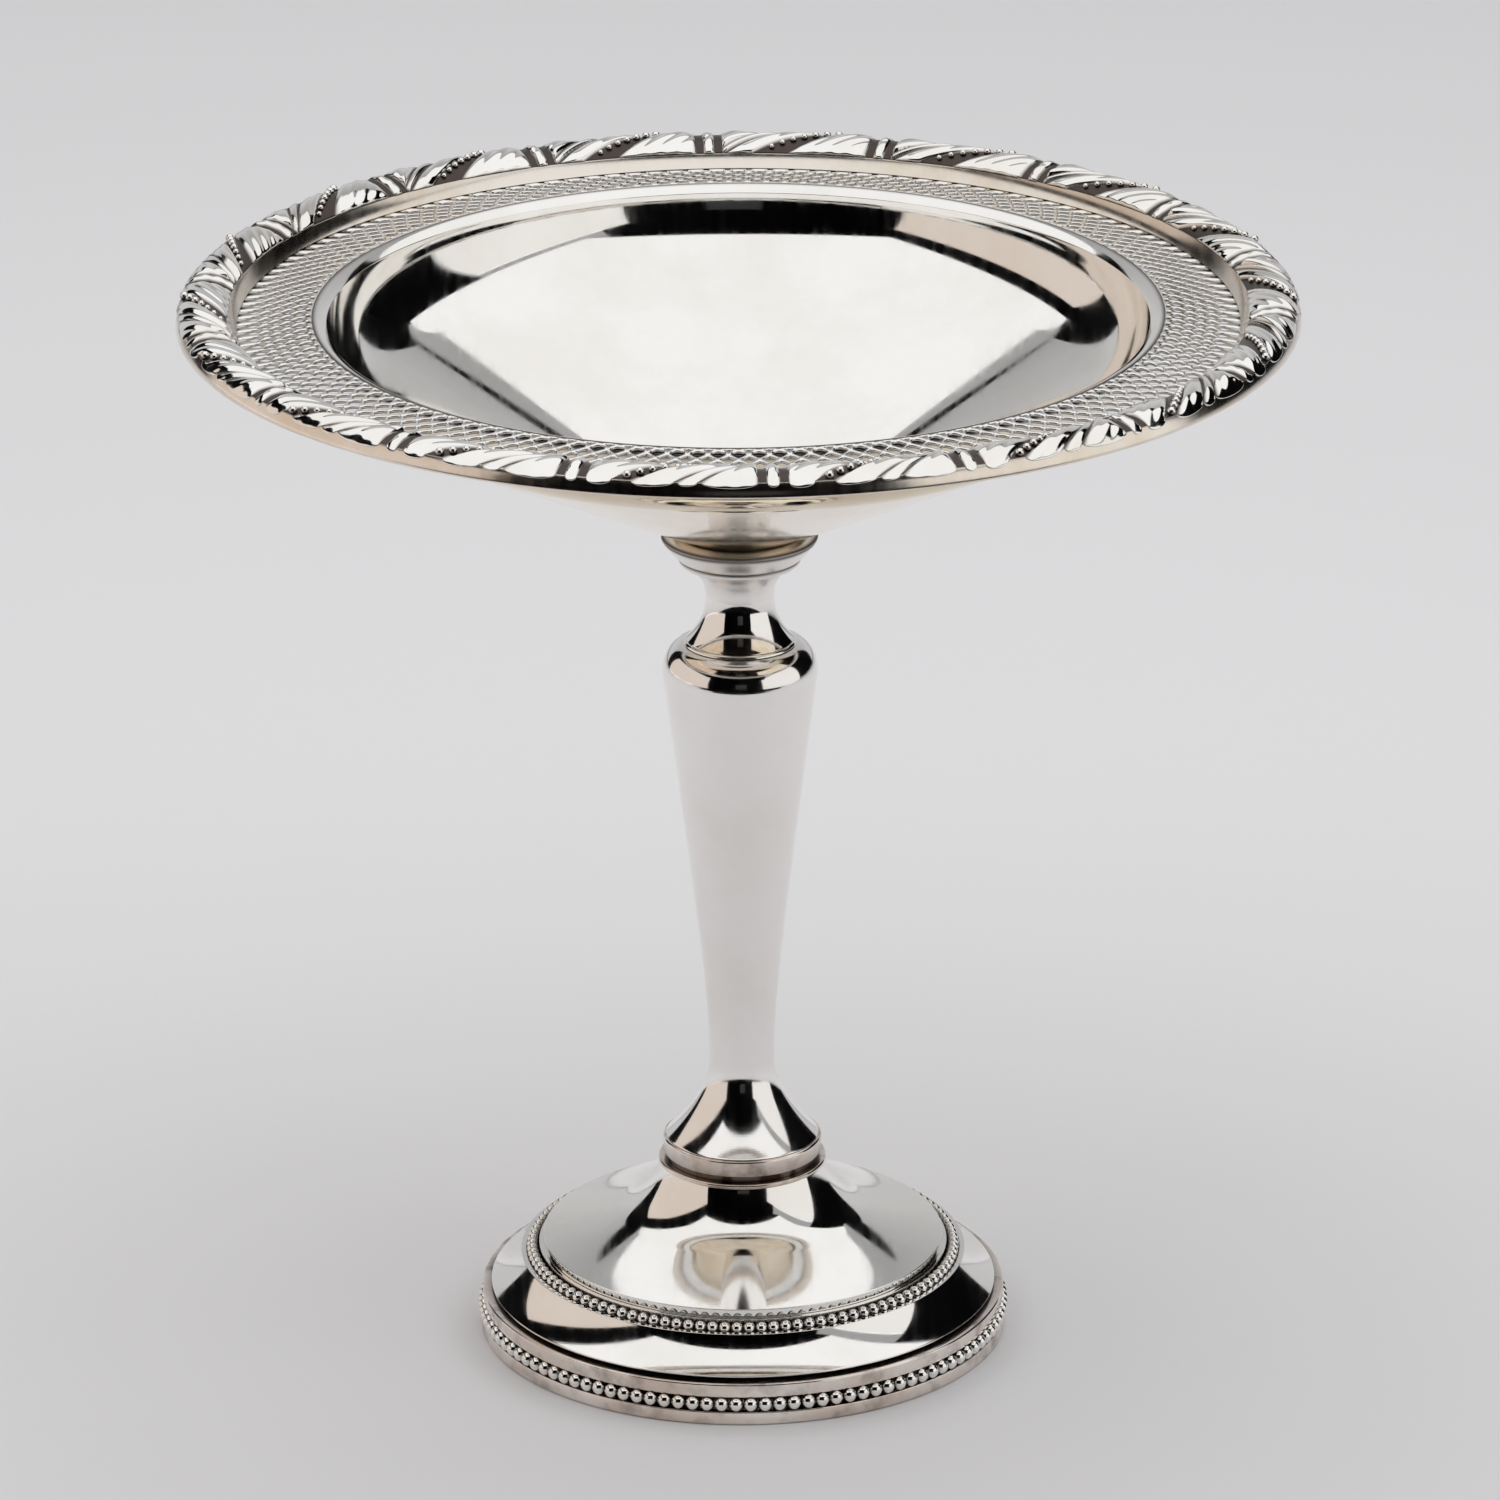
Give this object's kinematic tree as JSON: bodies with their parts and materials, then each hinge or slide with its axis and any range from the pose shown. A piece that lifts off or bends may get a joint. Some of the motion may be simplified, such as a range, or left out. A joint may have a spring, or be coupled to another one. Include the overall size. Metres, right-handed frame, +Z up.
{
  "type": "footed compote bowl",
  "caption": "Footed compote bowl: shallow round dish with a pierced flange and chased border, on a tall tapered stem and a stepped, beaded round foot, for serving sweets or fruit.",
  "frame": {"origin": "centre of the ring that stands on the table", "axes": "+Z up along the axis of the stem and bowl; the object is round, -Y faces the viewer of the picture"},
  "size_m": [0.1524, 0.1524, 0.1518],
  "materials": {
    "polished_silver": "polished",
    "tarnished_silver": "polished, lightly tarnished",
    "chased_silver": "chased relief with dark recesses",
    "steel_rod": "plain",
    "weighting": "matte cast filler",
    "base_cover": "felt on card"
  },
  "bodies": {
    "root": {"bowl": "polished_silver", "pierced_gallery": "polished_silver", "rim_band": "tarnished_silver", "rim_border": "chased_silver", "bowl_cup": "polished_silver", "stem_neck": "polished_silver", "neck_flange": "polished_silver", "stem_shaft": "polished_silver", "stem_ring": "polished_silver", "foot_collar": "polished_silver", "foot_dome": "polished_silver", "upper_bead_wire": "chased_silver", "foot_skirt": "polished_silver", "base_band": "tarnished_silver", "lower_bead_wire": "chased_silver", "base_rim": "tarnished_silver", "core_rod": "steel_rod", "stem_fill": "weighting", "foot_fill": "weighting", "base_disc": "base_cover"}
  },
  "joints": []
}
